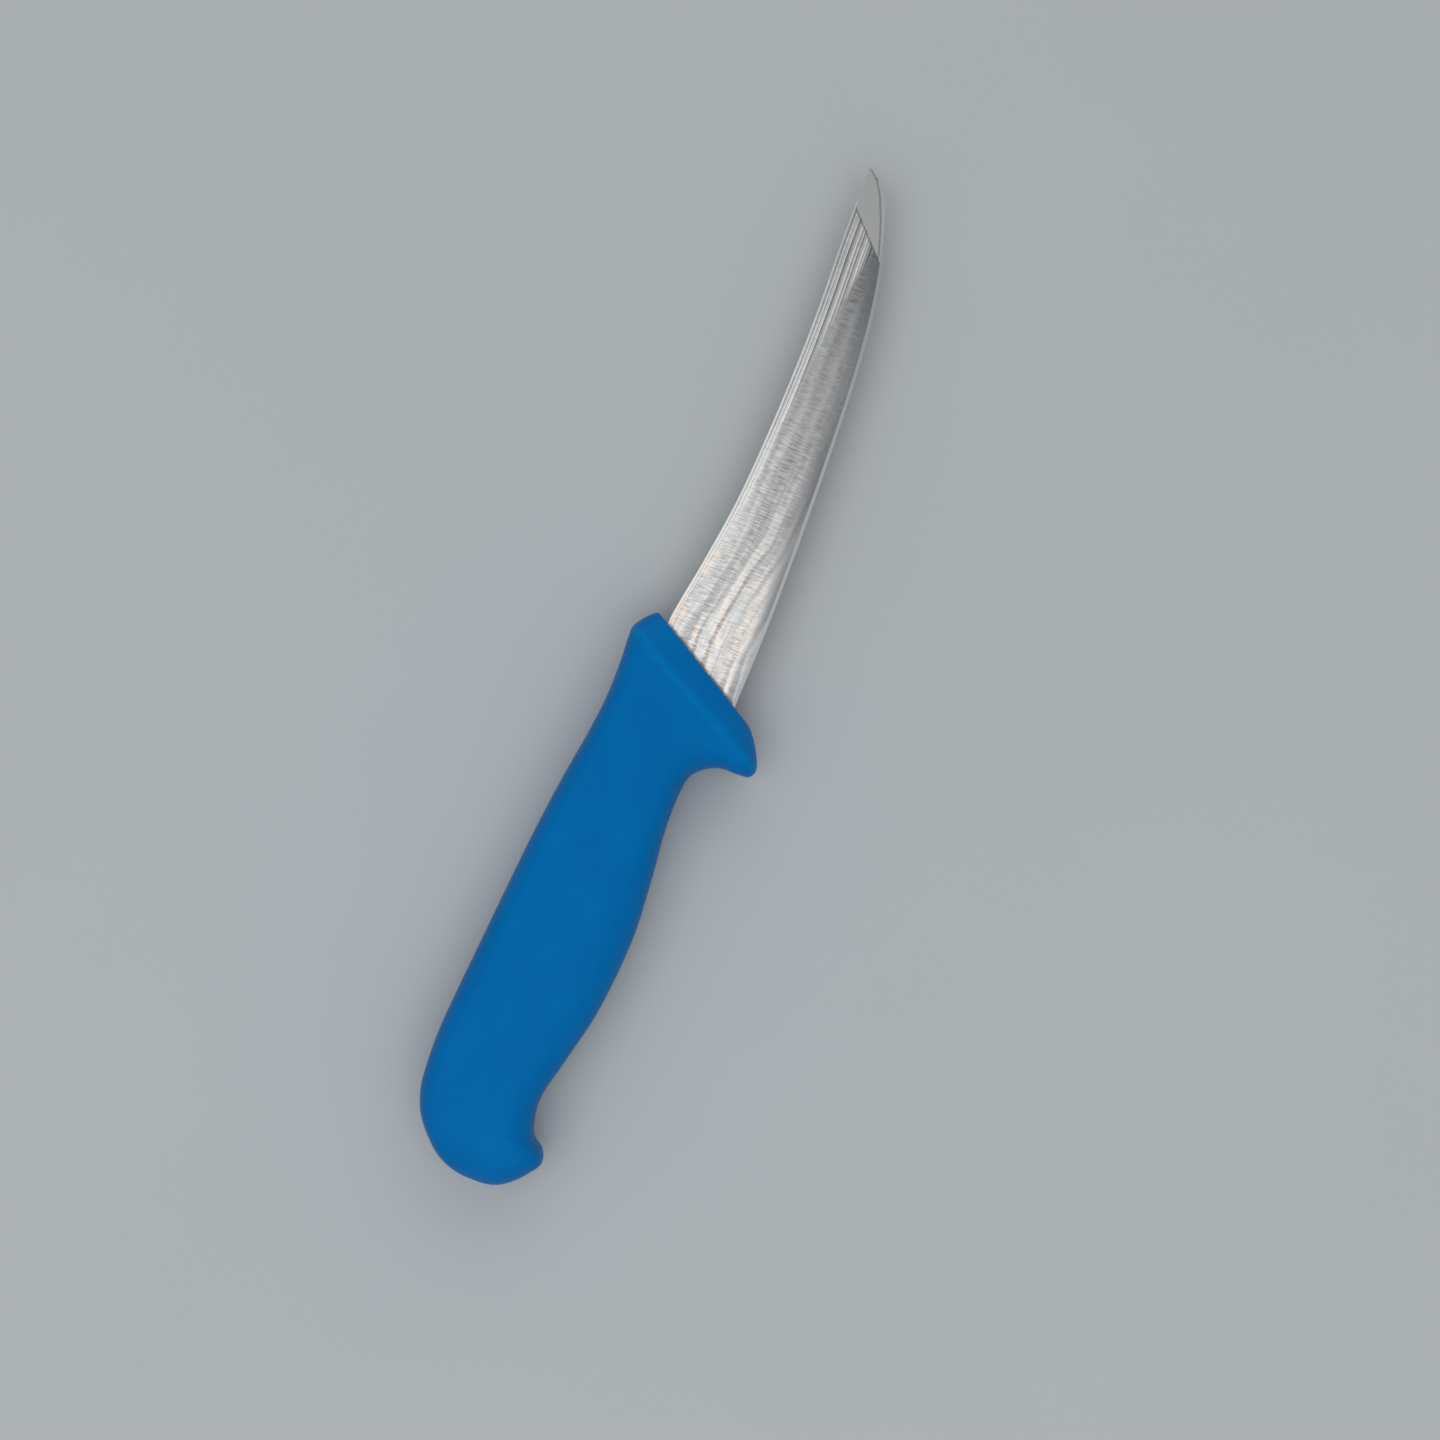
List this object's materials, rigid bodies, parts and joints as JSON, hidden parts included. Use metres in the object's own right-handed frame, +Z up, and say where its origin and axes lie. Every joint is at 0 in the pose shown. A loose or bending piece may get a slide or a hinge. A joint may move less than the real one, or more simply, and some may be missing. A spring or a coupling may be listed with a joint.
{
  "type": "boning knife",
  "caption": "Butcher's boning knife lying on its flank: slender up-curved steel blade, its tang locked inside a moulded blue plastic handle with a finger guard and a hooked butt.",
  "frame": {"origin": "under the middle of the knife's box, on the surface that it lies on", "axes": "+X from the butt of the handle to the point of the blade, +Y from the cutting edge towards the spine, +Z up through the blade's thickness"},
  "size_m": [0.2686, 0.0494, 0.02],
  "materials": {
    "steel": "finely ground across the blade, with a smooth bevel and a smooth facet at the point",
    "blue_plastic": "satin, with fine moulded ribs across the grip"
  },
  "bodies": {
    "root": {"blade": "steel", "handle": "blue_plastic"}
  },
  "joints": []
}
